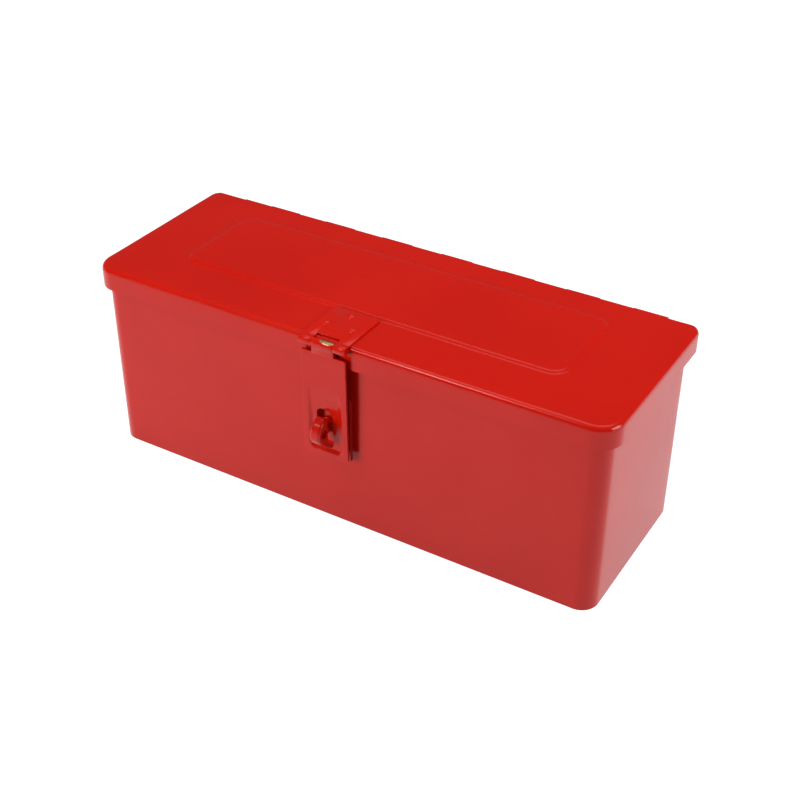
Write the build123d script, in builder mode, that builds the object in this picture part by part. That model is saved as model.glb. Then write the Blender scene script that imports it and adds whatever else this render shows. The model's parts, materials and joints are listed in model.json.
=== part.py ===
"""A painted sheet steel tool box with one hinged lid, a rear piano hinge and a hasp.

The origin is the centre of the base, with +X along the box to the right, +Y to the back
and +Z up. The hasp hangs on the front, at -Y. Every size is in millimetres.
"""

import os

from build123d import *

# Box body, a rounded band of sheet with a pan for its bottom
box_length = 400.0
box_depth = 140.0
rim_height = 149.8
body_sheet = 1.2
body_corner_r = 13.0
pan_flange = 10.0
pan_bend_r = 2.5
pan_gap = 0.1

# Lid, a shallow pressed pan with a raised panel
lid_sheet = 1.2
lid_gap = 3.5
lid_depth = 20.0
lid_edge_r = 4.0
panel_length = 305.0
panel_width = 81.0
panel_x = -1.5
panel_y = 7.0
panel_height = 1.5
panel_slope = 55.0
panel_corner_r = 12.0

# Rear piano hinge
knuckle_pitch = 25.4
knuckle_count = 14
knuckle_gap = 0.3
hinge_x = 2.0
hinge_leaf_width = 16.0
hinge_body_leaf = 1.3
hinge_lid_leaf = 0.95
hinge_pin_r = 1.8
pin_clearance = 0.08
sweep_gap = 0.4
lid_setback = 2.15
leaf_notch_gap = 0.6

# Hasp
hasp_x = -2.8
hasp_width = 38.0
hasp_sheet = 1.6
hasp_panel_gap = 0.7
hasp_corner_r = 1.5
hasp_knuckle_r = 3.0
hasp_pin_r = 1.5
hasp_barrel_gap = 2.9
hasp_notch_width = 18.6
hasp_notch_depth = 9.6
hasp_rivet_pitch = 20.5
hasp_rivet_front = 21.5
hasp_rivet_inset = 6.9

# Hasp strap
strap_width = 37.0
strap_bottom = 59.5
strap_gap = 1.6
strap_shoulder = 6.0
strap_corner_r = 4.0
dish_width = 23.0
dish_top = 113.0
dish_bottom = 62.0
dish_depth = 3.0
dish_slope = 40.0
dish_corner_r = 5.0
slot_width = 12.0
slot_bottom = 64.5
slot_top = 98.0

# Staple on its plate
plate_width = 34.0
plate_top = 108.0
plate_bottom = 54.5
plate_sheet = 1.5
plate_corner_r = 3.0
plate_rivet_inset = 5.0
staple_z = 82.0
neck_r = 4.3
collar_r = 6.2
collar_thickness = 1.3
end_gap = 0.2
washer_r = 8.0
washer_thickness = 1.2
button_r = 6.0
button_thickness = 1.6
head_thickness = 8.6
head_reach = 12.5
head_half_height = 11.0
head_round_r = 2.3
eye_r = 3.4
eye_reach = 6.0
head_gap = 0.4
neck_root = 2.0

# Rivets
rivet_r = 2.0
rivet_head_r = 3.2
rivet_head_height = 1.3
rivet_tail_r = 2.9
rivet_tail_height = 1.0
small_rivet_r = 1.6
small_head_r = 2.6
small_head_height = 1.0

# Places that follow from the sizes above
half_depth = box_depth / 2
lid_top = rim_height + lid_sheet
lid_bottom = lid_top - lid_depth
lid_overhang = lid_gap + lid_sheet
lid_corner_r = body_corner_r + lid_overhang
lid_front = -(half_depth + lid_overhang)
body_knuckle_r = hinge_pin_r + pin_clearance + hinge_body_leaf
lid_knuckle_r = hinge_pin_r + pin_clearance + hinge_lid_leaf
hinge_y = half_depth + body_knuckle_r
hinge_z = rim_height - lid_knuckle_r
hinge_length = knuckle_pitch * knuckle_count
lid_back = hinge_y - lid_setback
pan_back = lid_back + lid_edge_r
hasp_y = lid_front - hasp_barrel_gap
hasp_back_y = panel_y - panel_width / 2 - hasp_panel_gap
hasp_z = lid_top + hasp_sheet - hasp_knuckle_r
strap_back = lid_front - strap_gap
strap_front = strap_back - hasp_sheet
plate_front = -half_depth - plate_sheet
head_back = strap_front - head_gap

parts = {}


def rounded_box(length, depth, corner_r, bottom, top, shift_y=0.0):
    """A block with round upright corners, centred on X."""
    with BuildPart() as block:
        with BuildSketch(Plane.XY.offset(bottom).move(Location((0, shift_y, 0)))):
            RectangleRounded(length, depth, corner_r)
        extrude(amount=top - bottom)
    return block.part


def along_x(x, y, z):
    """A sketch plane facing +X, with its own X along +Y and its own Y along +Z."""
    return Plane(origin=(x, y, z), x_dir=(0, 1, 0), z_dir=(1, 0, 0))


def facing_front(y):
    """A sketch plane facing the front, with its own X along +X and its own Y along +Z."""
    return Plane(origin=(0, y, 0), x_dir=(1, 0, 0), z_dir=(0, -1, 0))


def knuckle(x0, x1, y, z, radius):
    """A solid rod along X, which a bore turns into a hinge knuckle."""
    with BuildPart() as rod:
        with BuildSketch(along_x(x0, y, z)):
            Circle(radius)
        extrude(amount=x1 - x0)
    return rod.part


def knuckle_spans(first):
    """The start and end of every second knuckle of the rear hinge."""
    left = hinge_x - hinge_length / 2
    for k in range(first, knuckle_count, 2):
        start = left + k * knuckle_pitch
        yield start + knuckle_gap / 2, start + knuckle_pitch - knuckle_gap / 2


def rivet(plane, shank_r, head_r, head_height, grip, tail_r):
    """A rivet with a domed head on the plane, a shank below it and a flat formed tail."""
    dome_r = (head_r**2 + head_height**2) / (2 * head_height)
    with BuildPart() as part:
        with BuildSketch(plane):
            with BuildLine():
                Line((0, head_height), (0, -grip - rivet_tail_height))
                Line((0, -grip - rivet_tail_height), (tail_r, -grip - rivet_tail_height))
                Line((tail_r, -grip - rivet_tail_height), (tail_r, -grip))
                Line((tail_r, -grip), (shank_r, -grip))
                Line((shank_r, -grip), (shank_r, 0))
                Line((shank_r, 0), (head_r, 0))
                RadiusArc((head_r, 0), (0, head_height), -dome_r)
            make_face()
        revolve(axis=Axis(plane.origin, plane.y_dir))
    return part.part


def hasp_rivet_places():
    """Two rivets behind the hinge of the hasp and one further back, as (x, y)."""
    return [
        (hasp_x - hasp_rivet_pitch / 2, hasp_y + hasp_rivet_front),
        (hasp_x + hasp_rivet_pitch / 2, hasp_y + hasp_rivet_front),
        (hasp_x, hasp_back_y - hasp_rivet_inset),
    ]


def plate_rivet_places():
    """One rivet in each corner of the staple plate, as (x, z)."""
    reach = plate_width / 2 - plate_rivet_inset
    for x in (hasp_x - reach, hasp_x + reach):
        for z in (plate_bottom + plate_rivet_inset, plate_top - plate_rivet_inset):
            yield x, z


def make_body_shell():
    """The upright walls: one band of sheet, notched at the back for the hinge leaf."""
    inner_r = body_corner_r - body_sheet
    with BuildPart() as body_shell:
        add(rounded_box(box_length, box_depth, body_corner_r, 0, rim_height))
        inside = rounded_box(
            box_length - 2 * body_sheet, box_depth - 2 * body_sheet, inner_r, -1, rim_height + 1
        )
        add(inside, mode=Mode.SUBTRACT)
        with Locations((hinge_x, half_depth, rim_height)):
            Box(
                hinge_length + 2 * leaf_notch_gap, 4 * body_sheet, 2 * hinge_lid_leaf, mode=Mode.SUBTRACT
            )
        with BuildSketch(facing_front(-half_depth)):
            with Locations((hasp_x, staple_z)):
                Circle(neck_r + pin_clearance)
            with Locations(*plate_rivet_places()):
                Circle(small_rivet_r + pin_clearance)
        extrude(amount=-2 * body_sheet, mode=Mode.SUBTRACT)
    return body_shell.part


def make_bottom_pan():
    """The bottom, with its edges turned up inside the walls."""
    shrink = body_sheet + pan_gap
    outer_r = body_corner_r - shrink
    with BuildPart() as bottom_pan:
        add(rounded_box(box_length - 2 * shrink, box_depth - 2 * shrink, outer_r, 0, pan_flange))
        fillet(bottom_pan.edges().group_by(Axis.Z)[0], pan_bend_r)
        top = bottom_pan.faces().sort_by(Axis.Z)[-1]
        offset(amount=-body_sheet, openings=top)
    return bottom_pan.part


def panel_block(bottom, grow):
    """The raised panel of the lid from the given height up, grown by an even margin."""
    with BuildPart() as panel:
        with BuildSketch(Plane.XY.offset(bottom).move(Location((panel_x, panel_y, 0)))):
            RectangleRounded(panel_length + 2 * grow, panel_width + 2 * grow, panel_corner_r + grow)
        extrude(amount=panel_height, taper=panel_slope)
    return panel.part


def make_lid():
    """The pressed lid: a pan with a raised panel, open at the back for the hinge."""
    with BuildPart() as lid:
        add(
            rounded_box(
                box_length + 2 * lid_overhang,
                pan_back - lid_front,
                lid_corner_r,
                lid_bottom,
                lid_top,
                (pan_back + lid_front) / 2,
            )
        )
        fillet(lid.edges().group_by(Axis.Z)[-1], lid_edge_r)
        floor = lid.faces().sort_by(Axis.Z)[0]
        offset(amount=-lid_sheet, openings=floor)
        add(panel_block(lid_top, 0))
        add(panel_block(rim_height, 0), mode=Mode.SUBTRACT)
        # The back is cut off flat where its bend would start, short of the hinge barrel.
        with Locations((0, lid_back, 0)):
            Box(
                box_length * 2, box_depth, box_length, align=(Align.CENTER, Align.MIN, Align.CENTER),
                mode=Mode.SUBTRACT,
            )
        # The flange stops where it would meet the back corners of the body as the lid opens.
        with Locations((0, half_depth - body_corner_r, hinge_z + sweep_gap / 2)):
            Box(
                box_length + 2 * sweep_gap,
                box_depth,
                2 * lid_depth,
                align=(Align.CENTER, Align.MIN, Align.MAX),
                mode=Mode.SUBTRACT,
            )
        with Locations(*[(x, y, lid_top) for x, y in hasp_rivet_places()]):
            Cylinder(rivet_r + pin_clearance, 4 * lid_sheet, mode=Mode.SUBTRACT)
    return lid.part


def make_hinge_body_leaf():
    """The hinge leaf on the outside of the back wall, with every second knuckle."""
    with BuildPart() as leaf:
        with Locations((hinge_x, half_depth, hinge_z)):
            Box(
                hinge_length, hinge_body_leaf, hinge_leaf_width, align=(Align.CENTER, Align.MIN, Align.MAX)
            )
        reach = lid_knuckle_r + sweep_gap
        for x0, x1 in knuckle_spans(0):
            with Locations(((x0 + x1) / 2, half_depth, hinge_z)):
                Box(
                    x1 - x0 + 2 * knuckle_gap,
                    2 * body_knuckle_r,
                    2 * reach,
                    align=(Align.CENTER, Align.CENTER, Align.CENTER),
                    mode=Mode.SUBTRACT,
                )
        for x0, x1 in knuckle_spans(1):
            add(knuckle(x0, x1, hinge_y, hinge_z, body_knuckle_r))
        bore = knuckle(
            hinge_x - hinge_length, hinge_x + hinge_length, hinge_y, hinge_z, hinge_pin_r + pin_clearance
        )
        add(bore, mode=Mode.SUBTRACT)
    return leaf.part


def make_hinge_lid_leaf():
    """The hinge leaf under the lid, with the knuckles between those of the body leaf."""
    with BuildPart() as leaf:
        with Locations((hinge_x, hinge_y, rim_height)):
            Box(
                hinge_length, hinge_leaf_width, hinge_lid_leaf, align=(Align.CENTER, Align.MAX, Align.MAX)
            )
        reach = body_knuckle_r + sweep_gap
        for x0, x1 in knuckle_spans(1):
            with Locations(((x0 + x1) / 2, hinge_y, rim_height)):
                Box(x1 - x0 + 2 * knuckle_gap, 2 * reach, 4 * hinge_lid_leaf, mode=Mode.SUBTRACT)
        for x0, x1 in knuckle_spans(0):
            add(knuckle(x0, x1, hinge_y, hinge_z, lid_knuckle_r))
        bore = knuckle(
            hinge_x - hinge_length, hinge_x + hinge_length, hinge_y, hinge_z, hinge_pin_r + pin_clearance
        )
        add(bore, mode=Mode.SUBTRACT)
    return leaf.part


def make_hasp_leaf():
    """The plate on the lid, with two knuckles at the front and a notch between them."""
    leaf_length = hasp_back_y - hasp_y
    left = hasp_x - hasp_width / 2
    right = hasp_x + hasp_width / 2
    notch_left = hasp_x - hasp_notch_width / 2
    notch_right = hasp_x + hasp_notch_width / 2
    with BuildPart() as leaf:
        with Locations((hasp_x, hasp_y, lid_top)):
            Box(hasp_width, leaf_length, hasp_sheet, align=(Align.CENTER, Align.MIN, Align.MIN))
        back_corners = leaf.edges().filter_by(Axis.Z).group_by(Axis.Y)[-1]
        fillet(back_corners, hasp_corner_r)
        add(knuckle(left, notch_left, hasp_y, hasp_z, hasp_knuckle_r))
        add(knuckle(notch_right, right, hasp_y, hasp_z, hasp_knuckle_r))
        with Locations((hasp_x, hasp_y, lid_top)):
            Box(hasp_notch_width, 2 * hasp_notch_depth, 4 * hasp_sheet, mode=Mode.SUBTRACT)
        add(
            knuckle(left - 1, right + 1, hasp_y, hasp_z, hasp_pin_r + pin_clearance), mode=Mode.SUBTRACT
        )
        with Locations(*[(x, y, lid_top) for x, y in hasp_rivet_places()]):
            Cylinder(rivet_r + pin_clearance, 4 * hasp_sheet, mode=Mode.SUBTRACT)
    return leaf.part


def dish_block(plane_y, grow):
    """The pressed dish from a face of the strap inward, deepest near its lower end."""
    width = dish_width + 2 * grow
    height = dish_top - dish_bottom + 2 * grow
    middle = (dish_top + dish_bottom) / 2
    ramp = Plane(
        origin=(hasp_x, plane_y, dish_top + grow),
        x_dir=(1, 0, 0),
        z_dir=(0, -(dish_top - dish_bottom), -dish_depth),
    )
    with BuildPart() as dish:
        with BuildSketch(facing_front(plane_y)):
            with Locations((hasp_x, middle)):
                RectangleRounded(width, height, dish_corner_r + grow)
        extrude(amount=-dish_depth, taper=dish_slope)
        split(bisect_by=ramp, keep=Keep.TOP)
    return dish.part


def make_hasp_strap():
    """The strap that swings over the staple: a knuckle, a dished plate and a slot."""
    knuckle_width = hasp_notch_width - 2 * knuckle_gap
    shoulder_z = hasp_z - strap_shoulder
    with BuildPart() as strap:
        with Locations((hasp_x, strap_back, strap_bottom)):
            Box(
                strap_width,
                hasp_sheet,
                shoulder_z - strap_bottom,
                align=(Align.CENTER, Align.MAX, Align.MIN),
            )
        fillet(strap.edges().filter_by(Axis.Y), strap_corner_r)
        with Locations((hasp_x, strap_back, hasp_z)):
            Box(
                knuckle_width,
                hasp_sheet,
                strap_shoulder + 2 * strap_corner_r,
                align=(Align.CENTER, Align.MAX, Align.MAX),
            )
        add(
            knuckle(
                hasp_x - knuckle_width / 2, hasp_x + knuckle_width / 2, hasp_y, hasp_z, hasp_knuckle_r
            )
        )
        bore = knuckle(
            hasp_x - strap_width, hasp_x + strap_width, hasp_y, hasp_z, hasp_pin_r + pin_clearance
        )
        add(bore, mode=Mode.SUBTRACT)
        add(dish_block(strap_back, hasp_sheet / 2))
        add(dish_block(strap_front, 0), mode=Mode.SUBTRACT)
        with BuildSketch(facing_front(strap_front)):
            with Locations((hasp_x, (slot_top + slot_bottom) / 2)):
                SlotOverall(slot_top - slot_bottom, slot_width, rotation=90)
        extrude(amount=-2 * (hasp_sheet + dish_depth), mode=Mode.SUBTRACT)
    return strap.part


def make_staple_plate():
    """The plate behind the strap that carries the staple."""
    with BuildPart() as plate:
        with BuildSketch(facing_front(-half_depth)):
            with Locations((hasp_x, (plate_top + plate_bottom) / 2)):
                RectangleRounded(plate_width, plate_top - plate_bottom, plate_corner_r)
            with Locations((hasp_x, staple_z)):
                Circle(neck_r + pin_clearance, mode=Mode.SUBTRACT)
            with Locations(*plate_rivet_places()):
                Circle(small_rivet_r + pin_clearance, mode=Mode.SUBTRACT)
        extrude(amount=plate_sheet)
    return plate.part


def make_turn_staple():
    """The staple: a round shaft with a collar and a button, and a D shaped eye in front."""
    washer_back = -half_depth + body_sheet + washer_thickness
    button_front = washer_back + end_gap
    button_back = button_front + button_thickness
    collar_back = plate_front - end_gap
    collar_front = collar_back - collar_thickness
    profile = Plane(origin=(hasp_x, 0, staple_z), x_dir=(1, 0, 0), z_dir=(0, 0, 1))
    corners = [
        (0, button_back),
        (button_r, button_back),
        (button_r, button_front),
        (neck_r, button_front),
        (neck_r, collar_back),
        (collar_r, collar_back),
        (collar_r, collar_front),
        (neck_r, collar_front),
        (neck_r, head_back - neck_root),
        (0, head_back - neck_root),
    ]
    with BuildPart() as head:
        with BuildSketch(along_x(hasp_x, head_back, staple_z)):
            Ellipse(head_reach, head_half_height)
            with Locations((head_reach, 0)):
                Rectangle(2 * head_reach, 4 * head_half_height, mode=Mode.SUBTRACT)
        extrude(amount=head_thickness / 2, both=True)
        fillet(head.edges(), head_round_r)
    with BuildPart() as staple:
        with BuildSketch(profile):
            with BuildLine():
                Polyline(*corners, close=True)
            make_face()
        revolve(axis=Axis((hasp_x, 0, staple_z), (0, 1, 0)))
        add(head.part)
        with BuildSketch(along_x(hasp_x, head_back - eye_reach, staple_z)):
            Circle(eye_r)
        extrude(amount=head_thickness, both=True, mode=Mode.SUBTRACT)
    return staple.part


def make_staple_washer():
    """The washer on the inside of the front wall that the staple turns against."""
    with BuildPart() as washer:
        with BuildSketch(facing_front(-half_depth + body_sheet)):
            with Locations((hasp_x, staple_z)):
                Circle(washer_r)
                Circle(neck_r + pin_clearance, mode=Mode.SUBTRACT)
        extrude(amount=-washer_thickness)
    return washer.part


def make_hasp_rivets():
    """Three rivets through the hasp leaf and the lid."""
    grip = hasp_sheet + lid_sheet
    return [
        rivet(
            Plane(origin=(x, y, lid_top + hasp_sheet), x_dir=(1, 0, 0), z_dir=(0, -1, 0)),
            rivet_r,
            rivet_head_r,
            rivet_head_height,
            grip,
            rivet_tail_r,
        )
        for x, y in hasp_rivet_places()
    ]


def make_plate_rivets():
    """Four small rivets through the staple plate and the front wall."""
    grip = plate_sheet + body_sheet
    return [
        rivet(
            Plane(origin=(x, plate_front, z), x_dir=(1, 0, 0), z_dir=(0, 0, -1)),
            small_rivet_r,
            small_head_r,
            small_head_height,
            grip,
            small_head_r,
        )
        for x, z in plate_rivet_places()
    ]


parts["body_shell"] = make_body_shell()
parts["bottom_pan"] = make_bottom_pan()
parts["lid"] = make_lid()
parts["hinge_body_leaf"] = make_hinge_body_leaf()
parts["hinge_lid_leaf"] = make_hinge_lid_leaf()
parts["hinge_pin"] = knuckle(
    hinge_x - hinge_length / 2, hinge_x + hinge_length / 2, hinge_y, hinge_z, hinge_pin_r
)
parts["hasp_leaf"] = make_hasp_leaf()
parts["hasp_pin"] = knuckle(
    hasp_x - hasp_width / 2, hasp_x + hasp_width / 2, hasp_y, hasp_z, hasp_pin_r
)
parts["hasp_strap"] = make_hasp_strap()
parts["hasp_rivets"] = Compound(children=make_hasp_rivets())
parts["staple_plate"] = make_staple_plate()
parts["plate_rivets"] = Compound(children=make_plate_rivets())
parts["turn_staple"] = make_turn_staple()
parts["staple_washer"] = make_staple_washer()

os.makedirs("parts", exist_ok=True)
for name, part in parts.items():
    part.label = name
    export_step(part, f"parts/{name}.step")
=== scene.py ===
"""The looks of a red painted steel tool box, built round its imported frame.

Lengths are in metres in the frame's own axes: +X along the box, +Y to the hinge, +Z up.
"""

import json
import math

import bmesh
import bpy
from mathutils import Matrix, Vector, noise


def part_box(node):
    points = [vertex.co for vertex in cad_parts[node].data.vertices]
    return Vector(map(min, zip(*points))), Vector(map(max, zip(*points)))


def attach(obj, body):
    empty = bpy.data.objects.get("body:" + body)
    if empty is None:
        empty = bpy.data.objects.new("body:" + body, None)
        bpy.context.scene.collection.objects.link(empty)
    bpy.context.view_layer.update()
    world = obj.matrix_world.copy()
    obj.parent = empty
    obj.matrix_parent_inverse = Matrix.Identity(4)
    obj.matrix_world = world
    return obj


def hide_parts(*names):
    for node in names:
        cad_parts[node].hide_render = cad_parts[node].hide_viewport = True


MM = 0.001

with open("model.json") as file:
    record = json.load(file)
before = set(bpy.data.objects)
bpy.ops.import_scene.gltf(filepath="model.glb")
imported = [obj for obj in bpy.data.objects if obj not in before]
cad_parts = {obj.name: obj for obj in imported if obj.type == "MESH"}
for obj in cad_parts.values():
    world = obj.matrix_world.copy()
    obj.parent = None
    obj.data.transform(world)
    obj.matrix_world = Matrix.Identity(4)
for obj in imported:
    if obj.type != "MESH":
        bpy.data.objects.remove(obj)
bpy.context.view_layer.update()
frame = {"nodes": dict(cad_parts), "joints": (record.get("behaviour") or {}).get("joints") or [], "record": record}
nodes = frame["nodes"]
joints = {joint["name"]: joint for joint in frame["joints"]}
PIN_Y, PIN_Z = joints["hasp_swing"]["pos_m"][1:]

# Sheet and press sizes that the frame's boxes don't show
SHEET = 1.2 * MM
BODY_CORNER = 13.0 * MM
LID_OVERHANG = 4.7 * MM
LID_BEND = 4.0 * MM
LID_DEPTH = 16.5 * MM
LID_BACK_CORNER = 10.0 * MM
PANEL_SIZE = (305 * MM, 81 * MM)
PANEL_CENTRE = (-1.5 * MM, 7.0 * MM)
PANEL_CORNER = 12.0 * MM
PANEL_HEIGHT = 1.5 * MM
PANEL_SLOPE = 3.4 * MM
SWEEP_GAP = 0.4 * MM
WALL_EDGE = 0.3 * MM
WALL_SWAY = 0.35 * MM
LID_SWAY = 0.30 * MM
LID_RIPPLE = 0.12 * MM

# Hasp, as the photograph shows it round the frame's pin
HASP_X = -1.8 * MM
HASP_WIDTH = 36.2 * MM
HASP_SHEET = 1.6 * MM
RIVET_HEAD = 1.3 * MM
ROLL_R = 2.45 * MM
PIN_R = 1.5 * MM
PIN_RECESS = 0.8 * MM
NOTCH = (-10.8 * MM, 7.2 * MM)
NOTCH_DEPTH = 7.4 * MM
NECK_ROOM = 0.3 * MM
LEAF_CORNER = 1.5 * MM
SOFT_EDGE = 0.22 * MM
STRAP_LEAN = math.radians(0.85)
STRAP_FRONT = 1.3 * MM
STRAP_WIDTH = 35.6 * MM
STRAP_REACH = 90.0 * MM
STRAP_CORNER = 1.4 * MM
SHOULDER = 7.4 * MM
DISH_X = -2.0 * MM
DISH_HALF = 13.9 * MM
DISH_START = 33.5 * MM
DISH_END = 87.6 * MM
DISH_DEEPEST = DISH_END - 8 * MM
DISH_DEPTH = 2.3 * MM
DISH_WALL = 3.2 * MM
DISH_CORNER = 5.0 * MM
DISH_FLOOR_CORNER = 2.6 * MM
SLOT_X = -3.0 * MM
SLOT_HALF = 6.3 * MM
SLOT_START = 52.0 * MM
SLOT_END = 85.4 * MM

# How many divisions a ring of sheet has along its sides and round its corners
LONG_STEPS = 56
SHORT_STEPS = 18
CORNER_STEPS = 14

# Camera, as fitted to the photograph
VIEW_AZIMUTH = math.radians(30.84)
VIEW_ELEVATION = math.radians(33.92)
VIEW_ROLL = math.radians(-0.28)
VIEW_RIGHT = 9.91 * MM
VIEW_UP = 51.29 * MM
VIEW_DISTANCE = 1036.7 * MM
VIEW_LENS = 61.36

# Lamps: name, place, aim, size, power, and whether reflections show it
LAMPS = [
    ("overhead", (-0.10, 0.50, 1.90), (0.0, 0.0, 0.1), (2.2, 1.6), 21.0, False),
    ("front", (-1.30, -1.80, 0.50), (0.0, 0.0, 0.05), (1.3, 0.8), 35.0, False),
    ("glint", (-0.60, -0.85, 1.45), (0.0, 0.0, 0.1), (0.3, 0.2), 4.0, True),
    ("sheen", (-0.10, 0.55, 1.80), (0.0, 0.0, 0.1), (1.6, 1.0), 6.0, True),
    ("side", (1.90, 0.30, 0.90), (0.0, 0.0, 0.05), (1.2, 1.0), 25.0, True),
]
FLOOR_REACH = 9


def ring(half_x, low_y, high_y, radius, along=LONG_STEPS, across=SHORT_STEPS, back_radius=None):
    """Points of a rounded rectangle, counter-clockwise seen from above, from its front left."""
    radius = max(radius, 0.01 * MM)
    far = max(back_radius, 0.01 * MM) if back_radius else radius
    front, back = low_y + radius, high_y - far
    near_x, far_x = half_x - radius, half_x - far
    sides = [
        ((-near_x, low_y), (near_x, low_y), along, (near_x, front), radius, -90),
        ((half_x, front), (half_x, back), across, (far_x, back), far, 0),
        ((far_x, high_y), (-far_x, high_y), along, (-far_x, back), far, 90),
        ((-half_x, back), (-half_x, front), across, (-near_x, front), radius, 180),
    ]
    points = []
    for start, end, steps, centre, size, first in sides:
        for k in range(steps):
            t = k / steps
            points.append((start[0] + (end[0] - start[0]) * t, start[1] + (end[1] - start[1]) * t))
        for k in range(CORNER_STEPS):
            angle = math.radians(first + 90 * k / CORNER_STEPS)
            points.append((centre[0] + size * math.cos(angle), centre[1] + size * math.sin(angle)))
    return points


def sway(point, size, scale, seed):
    """A smooth small displacement, for sheet that is never quite flat."""
    where = Vector(point) * scale + Vector((seed, 2.7 * seed, -seed))
    return size * noise.noise(where)


def skin(name, rings, cap=False, floor=False):
    """A mesh object through closed rings of equally many points, each given as (x, y, z)."""
    mesh = bpy.data.meshes.new(name)
    count = len(rings[0])
    points = [p for one in rings for p in one]
    faces = []
    for level in range(len(rings) - 1):
        low, high = level * count, (level + 1) * count
        for k in range(count):
            after = (k + 1) % count
            faces.append((low + k, low + after, high + after, high + k))
    if cap:
        last = (len(rings) - 1) * count
        faces.append(tuple(last + k for k in range(count)))
    if floor:
        faces.append(tuple(reversed(range(count))))
    mesh.from_pydata(points, [], faces)
    mesh.update()
    piece = bpy.data.objects.new(name, mesh)
    bpy.context.scene.collection.objects.link(piece)
    return piece


def settle(piece):
    """Applies every modifier of a piece to its mesh."""
    graph = bpy.context.evaluated_depsgraph_get()
    made = bpy.data.meshes.new_from_object(piece.evaluated_get(graph), depsgraph=graph)
    piece.modifiers.clear()
    old = piece.data
    piece.data = made
    made.name = piece.name
    bpy.data.meshes.remove(old)


def thicken(piece, thickness):
    """Gives a skin the thickness of its sheet, on its inner side."""
    solid = piece.modifiers.new("sheet", "SOLIDIFY")
    solid.thickness = thickness
    solid.offset = -1
    solid.use_even_offset = True
    settle(piece)


def block(low, high):
    """A cutter with the given corners."""
    mesh = bpy.data.meshes.new("cutter")
    shape = bmesh.new()
    bmesh.ops.create_cube(shape, size=1.0)
    for v in shape.verts:
        v.co = Vector([low[i] if v.co[i] < 0 else high[i] for i in range(3)])
    shape.to_mesh(mesh)
    shape.free()
    cutter = bpy.data.objects.new("cutter", mesh)
    bpy.context.scene.collection.objects.link(cutter)
    return cutter


def cut(piece, cutters):
    """Takes the cutters out of a piece and deletes them."""
    for cutter in cutters:
        taken = piece.modifiers.new("cut", "BOOLEAN")
        taken.operation = "DIFFERENCE"
        taken.solver = "EXACT"
        taken.object = cutter
    settle(piece)
    for cutter in cutters:
        bpy.data.objects.remove(cutter)


def smooth(piece, limit=35):
    """Smooth shading that keeps the edges sharper than the limit, in degrees."""
    mesh = piece.data
    mesh.shade_smooth()
    shape = bmesh.new()
    shape.from_mesh(mesh)
    for edge in shape.edges:
        edge.smooth = not (len(edge.link_faces) == 2 and edge.calc_face_angle() > math.radians(limit))
    shape.to_mesh(mesh)
    shape.free()


def finish_piece(piece, material, body, slot, *replaced):
    """Shades a new piece, seats it on its body and hides the frame parts it replaces."""
    smooth(piece)
    piece.data.materials.clear()
    piece.data.materials.append(material)
    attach(piece, body)
    if replaced:
        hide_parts(*replaced)


class Graph:
    """A short way to build a material's nodes."""

    def __init__(self, name):
        self.material = bpy.data.materials.new(name)
        self.material.use_nodes = True
        self.tree = self.material.node_tree
        self.shader = self.tree.nodes["Principled BSDF"]
        self.place = self.add("ShaderNodeTexCoord").outputs["Object"]

    def add(self, kind, **settings):
        node = self.tree.nodes.new(kind)
        for key, value in settings.items():
            setattr(node, key, value)
        return node

    def link(self, source, target):
        self.tree.links.new(source, target)

    def noise(self, scale, detail=2.0, rough=0.5):
        """Noise over the object, as a value round 0.5."""
        node = self.add("ShaderNodeTexNoise")
        node.inputs["Scale"].default_value = scale
        node.inputs["Detail"].default_value = detail
        node.inputs["Roughness"].default_value = rough
        self.link(self.place, node.inputs["Vector"])
        return node.outputs["Fac"]

    def spread(self, value, low, high, to_low, to_high):
        """Maps a value from one range to another."""
        node = self.add("ShaderNodeMapRange")
        node.inputs["From Min"].default_value = low
        node.inputs["From Max"].default_value = high
        node.inputs["To Min"].default_value = to_low
        node.inputs["To Max"].default_value = to_high
        self.link(value, node.inputs["Value"])
        return node.outputs["Result"]

    def mix(self, factor, first, second):
        """A colour between two, each a colour or a socket."""
        node = self.add("ShaderNodeMix", data_type="RGBA")
        self.link(factor, node.inputs["Factor"])
        sockets = [socket for socket in node.inputs if socket.type == "RGBA"]
        for socket, value in zip(sockets, (first, second)):
            self.put(socket, value)
        return [s for s in node.outputs if s.type == "RGBA"][0]

    def patch(self, centre, reach):
        """One within an uneven egg shaped region of the object and zero outside it."""
        shift = self.add("ShaderNodeVectorMath", operation="SUBTRACT")
        self.link(self.place, shift.inputs[0])
        shift.inputs[1].default_value = centre
        ratio = self.add("ShaderNodeVectorMath", operation="DIVIDE")
        self.link(shift.outputs["Vector"], ratio.inputs[0])
        ratio.inputs[1].default_value = reach
        far = self.add("ShaderNodeVectorMath", operation="LENGTH")
        self.link(ratio.outputs["Vector"], far.inputs[0])
        uneven = self.add("ShaderNodeMath", operation="ADD")
        self.link(far.outputs["Value"], uneven.inputs[0])
        self.link(self.spread(self.noise(900.0, 3.0), 0.3, 0.7, -0.35, 0.35), uneven.inputs[1])
        return self.spread(uneven.outputs[0], 0.85, 1.0, 1.0, 0.0)

    def put(self, socket, value):
        if isinstance(value, bpy.types.NodeSocket):
            self.link(value, socket)
        else:
            socket.default_value = value

    def bump(self, height, strength, distance):
        node = self.add("ShaderNodeBump")
        node.inputs["Strength"].default_value = strength
        node.inputs["Distance"].default_value = distance
        self.link(height, node.inputs["Height"])
        return node.outputs["Normal"]


ENAMEL = (0.60, 0.0080, 0.0012, 1.0)
ENAMEL_DEEP = (0.54, 0.0060, 0.0008, 1.0)
WORN = (0.60, 0.40, 0.20, 1.0)


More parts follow.
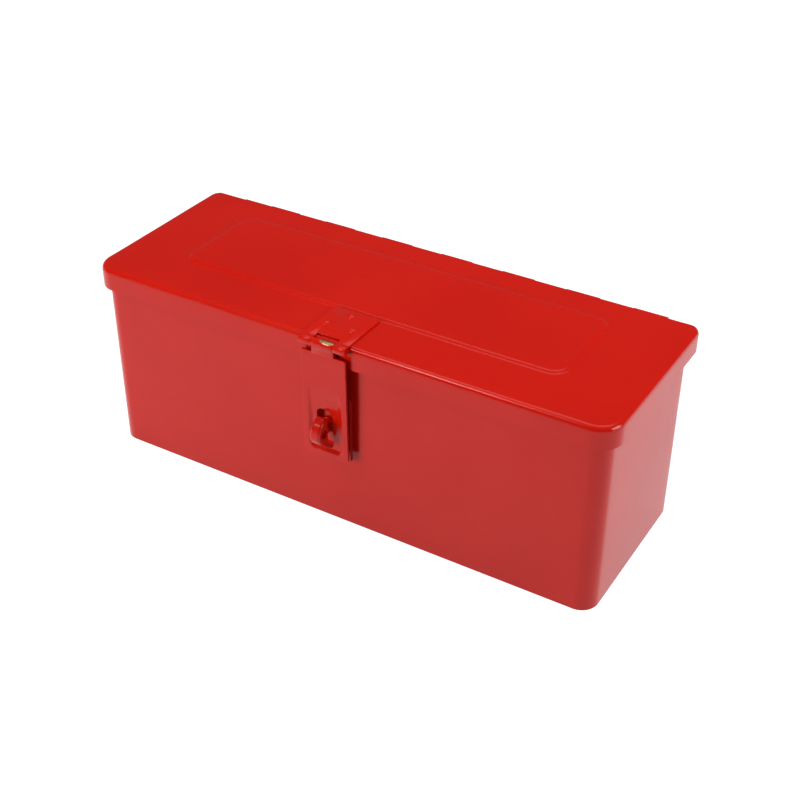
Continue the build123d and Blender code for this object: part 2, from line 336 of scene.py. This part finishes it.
def enamel(name, worn=None):
    """Gloss red enamel on pressed sheet with faint orange peel, and bare metal where it is worn."""
    g = Graph(name)
    shade = g.spread(g.noise(9.0, 3.0), 0.3, 0.7, 0.0, 1.0)
    colour = g.mix(shade, ENAMEL, ENAMEL_DEEP)
    rough = g.spread(g.noise(35.0, 4.0), 0.3, 0.7, 0.13, 0.20)
    if worn:
        bare = g.patch(*worn)
        g.link(bare, g.shader.inputs["Metallic"])
        colour = g.mix(bare, colour, WORN)
        dull = g.add("ShaderNodeMath", operation="ADD")
        g.link(rough, dull.inputs[0])
        g.link(g.spread(bare, 0.0, 1.0, 0.0, 0.22), dull.inputs[1])
        rough = dull.outputs[0]
    g.link(colour, g.shader.inputs["Base Color"])
    g.link(rough, g.shader.inputs["Roughness"])
    g.link(g.bump(g.noise(420.0, 1.0), 0.06, 0.0003), g.shader.inputs["Normal"])
    g.shader.inputs["IOR"].default_value = 1.40
    return g.material


def plated(name):
    """Zinc plated steel."""
    g = Graph(name)
    g.shader.inputs["Base Color"].default_value = (0.55, 0.53, 0.48, 1.0)
    g.shader.inputs["Metallic"].default_value = 1.0
    g.link(g.spread(g.noise(300.0, 3.0), 0.3, 0.7, 0.3, 0.45), g.shader.inputs["Roughness"])
    return g.material


def make_walls(material):
    """The four walls, one band of sheet with a little sway, notched for the hinge leaf."""
    low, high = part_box("body_shell")
    rows = []
    heights = [0.0, 0.4 * MM] + [high.z * k / 14 for k in range(1, 14)] + [high.z - WALL_EDGE, high.z]
    for z in heights:
        inset = WALL_EDGE if z in (0.0, high.z) else 0.0
        belly = math.sin(math.pi * z / high.z)
        row = []
        for x, y in ring(high.x - inset, low.y + inset, high.y - inset, BODY_CORNER - inset):
            out = sway((x, y, z), WALL_SWAY, 11.0, 3.0) * belly
            flat_x = 1.0 if abs(y) > high.y - 1 * MM else 0.0
            flat_y = 1.0 if abs(x) > high.x - 1 * MM else 0.0
            row.append((x + math.copysign(out * flat_y, x), y + math.copysign(out * flat_x, y), z))
        rows.append(row)
    walls = skin("walls", rows)
    thicken(walls, SHEET)
    leaf_low, leaf_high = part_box("hinge_lid_leaf")
    notch = block(
        (leaf_low.x - 0.6 * MM, high.y - 3 * SHEET, high.z - 0.95 * MM),
        (leaf_high.x + 0.6 * MM, high.y + SHEET, high.z + SHEET),
    )
    cut(walls, [notch])
    finish_piece(walls, material, "casing", "red_paint", "body_shell")


def make_lid(material):
    """The lid: a flange, a rolled edge, a flat border and a raised panel."""
    low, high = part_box("lid")
    top = high.z - PANEL_HEIGHT
    pan_back = high.y + LID_BEND
    corner = BODY_CORNER + LID_OVERHANG

    def level(inset, z):
        front, back, side = low.y + inset, pan_back - inset, high.x - inset
        out = ring(side, front, back, corner - inset, back_radius=LID_BACK_CORNER - inset)
        return [(x, y, z) for x, y in out]

    edge_z = top - LID_DEPTH
    rows = [level(0.0, edge_z + (top - LID_BEND - edge_z) * k / 4) for k in range(5)]
    for k in range(1, 9):
        turn = math.radians(90 * k / 8)
        rows.append(level(LID_BEND * (1 - math.cos(turn)), top - LID_BEND * (1 - math.sin(turn))))
    half_x, half_y = PANEL_SIZE[0] / 2, PANEL_SIZE[1] / 2

    def panel(grow, z):
        out = ring(half_x + grow, -half_y - grow, half_y + grow, PANEL_CORNER + grow)
        return [(x + PANEL_CENTRE[0], y + PANEL_CENTRE[1], z) for x, y in out]

    edge = rows[-1]
    base = panel(PANEL_SLOPE * 0.3, top)
    for k in range(1, 8):
        t = k / 8
        rows.append([tuple(Vector(a).lerp(Vector(b), t)) for a, b in zip(edge, base)])
    for k in range(9):
        t = k / 8
        rise = t * t * (3 - 2 * t)
        rows.append(panel(PANEL_SLOPE * (0.3 - t), top + PANEL_HEIGHT * rise))
    rim = rows[-1]
    reach = half_x - half_y
    for k in range(1, 9):
        t = k / 9
        row = []
        for x, y, z in rim:
            spine = min(max(x - PANEL_CENTRE[0], -reach), reach) + PANEL_CENTRE[0]
            row.append((x + (spine - x) * t, y + (PANEL_CENTRE[1] - y) * t, z))
        rows.append(row)
    for row in rows:
        for k, (x, y, z) in enumerate(row):
            lift = sway((x, y, 0.0), LID_SWAY, 13.0, 8.0) + sway((x, y, 0.0), LID_RIPPLE, 31.0, 5.0)
            row[k] = (x, y, z + lift * min(1.0, max(0.0, (z - top + LID_BEND) / LID_BEND)))
    lid = skin("lid_pressing", rows, cap=True)
    thicken(lid, SHEET)
    far = 4 * corner
    hinge_z = joints["lid_open"]["pos_m"][2]
    body_low, body_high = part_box("body_shell")
    back = block((low.x - far, high.y, low.z - far), (high.x + far, high.y + far, high.z + far))
    flange = block(
        (body_low.x - SWEEP_GAP, body_high.y - BODY_CORNER, low.z - far),
        (body_high.x + SWEEP_GAP, high.y + far, hinge_z + SWEEP_GAP / 2),
    )
    cut(lid, [back, flange])
    finish_piece(lid, material, "lid", "red_paint", "lid")


def join(name, pieces):
    """One object from several pieces, each of which keeps its own faces."""
    shape = bmesh.new()
    for piece in pieces:
        shape.from_mesh(piece.data)
        bpy.data.objects.remove(piece)
    mesh = bpy.data.meshes.new(name)
    shape.to_mesh(mesh)
    shape.free()
    whole = bpy.data.objects.new(name, mesh)
    bpy.context.scene.collection.objects.link(whole)
    return whole


def close(piece):
    """Joins points that meet and turns every face outwards."""
    shape = bmesh.new()
    shape.from_mesh(piece.data)
    bmesh.ops.remove_doubles(shape, verts=shape.verts, dist=0.001 * MM)
    bmesh.ops.recalc_face_normals(shape, faces=shape.faces)
    shape.to_mesh(piece.data)
    shape.free()


def soften(piece, width):
    """Breaks the sharp edges of a piece."""
    edge = piece.modifiers.new("edge", "BEVEL")
    edge.width = width
    edge.segments = 2
    edge.limit_method = "ANGLE"
    edge.angle_limit = math.radians(40)
    settle(piece)


def arc(radius, first, last, steps):
    """Points of an arc round the origin, from one angle to another in degrees."""
    turns = [math.radians(first + (last - first) * k / steps) for k in range(steps + 1)]
    return [(radius * math.cos(turn), radius * math.sin(turn)) for turn in turns]


def strip(name, path, x0, x1, place):
    """A strip of hasp sheet along X whose middle follows a path of (forward, up) points."""
    outer, inner = [], []
    for k, (a, b) in enumerate(path):
        p, q = path[max(k - 1, 0)], path[min(k + 1, len(path) - 1)]
        run, rise = q[0] - p[0], q[1] - p[1]
        share = HASP_SHEET / 2 / math.hypot(run, rise)
        outer.append((a - rise * share, b + run * share))
        inner.append((a + rise * share, b - run * share))
    outline = outer + inner[::-1]
    piece = skin(name, [[place(x, a, b) for a, b in outline] for x in (x0, x1)], cap=True, floor=True)
    close(piece)
    return piece


def on_lid(x, forward, up):
    """A place near the hasp's pin, for the leaf that stays on the lid."""
    return (x, PIN_Y - forward, PIN_Z + up)


def on_strap(x, forward, up):
    """A place near the hasp's pin, for the strap, which leans in towards its lower end."""
    c, s = math.cos(STRAP_LEAN), math.sin(STRAP_LEAN)
    return (x, PIN_Y - forward * c - up * s, PIN_Z + up * c - forward * s)


def make_hasp_leaf(material):
    """The leaf on the lid: a plate with a notch between two rolled knuckles."""
    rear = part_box("hasp_leaf")[1].y - LEAF_CORNER
    left, right = HASP_X - HASP_WIDTH / 2, HASP_X + HASP_WIDTH / 2
    plate_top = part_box("hasp_rivets")[1].z - RIVET_HEAD
    middle = plate_top - HASP_SHEET / 2 - PIN_Z
    front, notch = PIN_Y + 3.5 * MM, PIN_Y + NOTCH_DEPTH
    corners = [(right - LEAF_CORNER, rear), (left + LEAF_CORNER, rear)]
    outline = [(left, front), (NOTCH[0], front), (NOTCH[0], notch), (NOTCH[1], notch), (NOTCH[1], front)]
    outline.append((right, front))
    for (x, y), first in zip(corners, (0, 90)):
        outline += [(x + a, y + b) for a, b in arc(LEAF_CORNER, first, first + 90, 6)]
    levels = [[(x, y, z) for x, y in outline] for z in (plate_top - HASP_SHEET, plate_top)]
    pieces = [skin("plate", levels, cap=True, floor=True)]
    close(pieces[0])
    roll = [(-3.5 * MM, middle), (-2.2 * MM, middle), (-1.1 * MM, (middle + ROLL_R) / 2)]
    roll += arc(ROLL_R, 90, -190, 30)
    for x0, x1 in ((left, NOTCH[0]), (NOTCH[1], right)):
        pieces.append(strip("roll", roll, x0, x1, on_lid))
    leaf = join("hasp_leaf_look", pieces)
    soften(leaf, SOFT_EDGE)
    finish_piece(leaf, material, "lid", "hasp_paint", "hasp_leaf")


def make_strap(material):
    """The strap: a rolled knuckle, a neck and a pressed plate whose dish deepens towards its end."""
    half = STRAP_WIDTH / 2
    shift = DISH_X - HASP_X

    def level(half_x, low, high, radius, dx):
        return [(x + dx, y) for x, y in ring(half_x, low, high, radius, 8, 30)]

    outer = level(half, -STRAP_REACH, -SHOULDER, STRAP_CORNER, 0.0)
    rim = level(DISH_HALF, -DISH_END, -DISH_START, DISH_CORNER, shift)
    floor = level(
        DISH_HALF - DISH_WALL, DISH_WALL - DISH_END, -DISH_START - DISH_WALL, DISH_FLOOR_CORNER, shift
    )
    slot = level(SLOT_HALF, -SLOT_END, -SLOT_START, SLOT_HALF - 0.8 * MM, SLOT_X - HASP_X)
    front, back = [], []
    bands = [(outer, rim, 6, 0.0, 0.0), (rim, floor, 10, 0.0, 1.0), (floor, slot, 6, 1.0, 1.0)]
    for a, b, steps, first, last in bands:
        for k in range(steps + (b is slot)):
            t = k / steps
            share = first + (last - first) * t
            share = share * share * (3 - 2 * share)
            front.append([])
            back.append([])
            for (xa, ya), (xb, yb) in zip(a, b):
                x, y = xa + (xb - xa) * t, ya + (yb - ya) * t
                ramp = min(1.0, max(0.0, (-y - DISH_START) / (DISH_DEEPEST - DISH_START)))
                depth = DISH_DEPTH * share * ramp
                wave = sway((x, 0.0, y), 0.16 * MM, 45.0, 2.0)
                front[-1].append(on_strap(HASP_X + x, STRAP_FRONT - depth + wave, y))
                back[-1].append(on_strap(HASP_X + x, STRAP_FRONT - depth + wave - HASP_SHEET, y))
    plate = skin("strap_plate", front + back[::-1] + front[:1])
    close(plate)
    face = STRAP_FRONT - HASP_SHEET / 2
    neck = [(face, -SHOULDER - 1.0 * MM), (face, -5.2 * MM), (face + 0.12 * MM, -3.9 * MM)]
    neck += [(face + 0.55 * MM, -2.85 * MM)]
    neck += arc(ROLL_R, -50, 240, 30)
    pieces = [plate, strip("neck", neck, NOTCH[0] + NECK_ROOM, NOTCH[1] - NECK_ROOM, on_strap)]
    strap = join("strap_look", pieces)
    soften(strap, SOFT_EDGE)
    finish_piece(strap, material, "strap", "hasp_paint", "hasp_strap")


def make_hasp_pin(material):
    """The pin, a little short of the knuckles that hold it and painted over with them."""
    low, high = HASP_X - HASP_WIDTH / 2 + PIN_RECESS, HASP_X + HASP_WIDTH / 2 - PIN_RECESS
    rounds = [[on_lid(x, a, b) for a, b in arc(PIN_R, 0, 345, 23)] for x in (high, low)]
    pin = skin("hasp_pin_look", rounds, cap=True, floor=True)
    close(pin)
    finish_piece(pin, material, "lid", "plated_steel", "hasp_pin")


def make_camera():
    """The camera of the photograph, looking down on the front right corner."""
    a, e = VIEW_AZIMUTH, VIEW_ELEVATION
    back = Vector((math.sin(a) * math.cos(e), -math.cos(a) * math.cos(e), math.sin(e)))
    right = (-back).cross(Vector((0, 0, 1))).normalized()
    up = back.cross(right)
    turned_right = right * math.cos(VIEW_ROLL) - up * math.sin(VIEW_ROLL)
    turned_up = up * math.cos(VIEW_ROLL) + right * math.sin(VIEW_ROLL)
    data = bpy.data.cameras.new("camera")
    data.lens = VIEW_LENS
    data.sensor_width = 36.0
    camera = bpy.data.objects.new("camera", data)
    bpy.context.scene.collection.objects.link(camera)
    matrix = camera.matrix_world.copy()
    for row in range(3):
        matrix[row][0], matrix[row][1], matrix[row][2] = turned_right[row], turned_up[row], back[row]
    place = turned_right * VIEW_RIGHT + turned_up * VIEW_UP + back * VIEW_DISTANCE
    matrix.translation = place
    camera.matrix_world = matrix
    bpy.context.scene.camera = camera


def lamp(name, place, aim, size, power, mirrored):
    """A soft rectangular lamp that points at a place."""
    data = bpy.data.lights.new(name, "AREA")
    data.shape = "RECTANGLE"
    data.size, data.size_y = size
    data.energy = power
    piece = bpy.data.objects.new(name, data)
    bpy.context.scene.collection.objects.link(piece)
    piece.location = place
    piece.rotation_euler = (Vector(aim) - Vector(place)).to_track_quat("-Z", "Y").to_euler()
    piece.visible_glossy = mirrored


def make_floor():
    """A floor that shows white to the camera and in reflections, and keeps the shadow."""
    r = FLOOR_REACH
    floor = skin("floor", [[(-r, -r, 0), (r, -r, 0), (r, r, 0), (-r, r, 0)]], cap=True)
    g = Graph("floor_white")
    g.shader.inputs["Base Color"].default_value = (0.55, 0.55, 0.55, 1.0)
    g.shader.inputs["Roughness"].default_value = 0.9
    g.shader.inputs["Specular IOR Level"].default_value = 0.0
    glow = g.add("ShaderNodeEmission")
    glow.inputs["Strength"].default_value = 1.5
    path = g.add("ShaderNodeLightPath")
    seen = g.add("ShaderNodeMath", operation="MAXIMUM")
    g.link(path.outputs["Is Camera Ray"], seen.inputs[0])
    shown = g.add("ShaderNodeMath", operation="MAXIMUM")
    g.link(seen.outputs[0], shown.inputs[0])
    g.link(path.outputs["Is Transmission Ray"], shown.inputs[1])
    share = g.add("ShaderNodeMath", operation="MULTIPLY")
    share.inputs[1].default_value = 0.7
    mirrored = g.add("ShaderNodeMath", operation="MULTIPLY")
    mirrored.inputs[1].default_value = 0.75
    g.link(path.outputs["Is Glossy Ray"], mirrored.inputs[0])
    g.link(shown.outputs[0], share.inputs[0])
    g.link(mirrored.outputs[0], seen.inputs[1])
    blend = g.add("ShaderNodeMixShader")
    g.link(share.outputs[0], blend.inputs[0])
    g.link(g.shader.outputs[0], blend.inputs[1])
    g.link(glow.outputs[0], blend.inputs[2])
    g.link(blend.outputs[0], g.tree.nodes["Material Output"].inputs["Surface"])
    floor.data.materials.append(g.material)


def make_world():
    """A dim world that is white to the camera and a little lighter in reflections."""
    world = bpy.data.worlds.new("world")
    world.use_nodes = True
    tree = world.node_tree
    dim = tree.nodes["Background"]
    dim.inputs["Color"].default_value = (0.06, 0.06, 0.065, 1.0)
    white = tree.nodes.new("ShaderNodeBackground")
    white.inputs["Color"].default_value = (1.0, 1.0, 1.0, 1.0)
    path = tree.nodes.new("ShaderNodeLightPath")
    faint = tree.nodes.new("ShaderNodeMath")
    faint.operation = "MULTIPLY"
    faint.inputs[1].default_value = 0.06
    tree.links.new(path.outputs["Is Glossy Ray"], faint.inputs[0])
    shown = tree.nodes.new("ShaderNodeMath")
    shown.operation = "MAXIMUM"
    tree.links.new(path.outputs["Is Camera Ray"], shown.inputs[0])
    tree.links.new(faint.outputs[0], shown.inputs[1])
    sky = tree.nodes.new("ShaderNodeMixShader")
    tree.links.new(shown.outputs[0], sky.inputs[0])
    tree.links.new(dim.outputs[0], sky.inputs[1])
    tree.links.new(white.outputs[0], sky.inputs[2])
    tree.links.new(sky.outputs[0], tree.nodes["World Output"].inputs["Surface"])
    bpy.context.scene.world = world


red = enamel("red_enamel")
rubbed = enamel("rubbed_enamel", ((1.7 * MM, -77.9 * MM, 153.0 * MM), (5.6 * MM, 2.6 * MM, 2.2 * MM)))
zinc = plated("zinc_plate")
by_slot = {"red_paint": red, "hasp_paint": red, "plated_steel": zinc}
for part in frame["record"]["subparts"]:
    node = nodes[part["node"]]
    node.data.materials.clear()
    node.data.materials.append(by_slot[part["material_slot"]])
make_walls(red)
make_lid(red)
make_hasp_leaf(red)
make_strap(rubbed)
make_hasp_pin(red)
make_camera()
make_floor()
make_world()
for settings in LAMPS:
    lamp(*settings)
bpy.context.scene.view_settings.view_transform = "Standard"
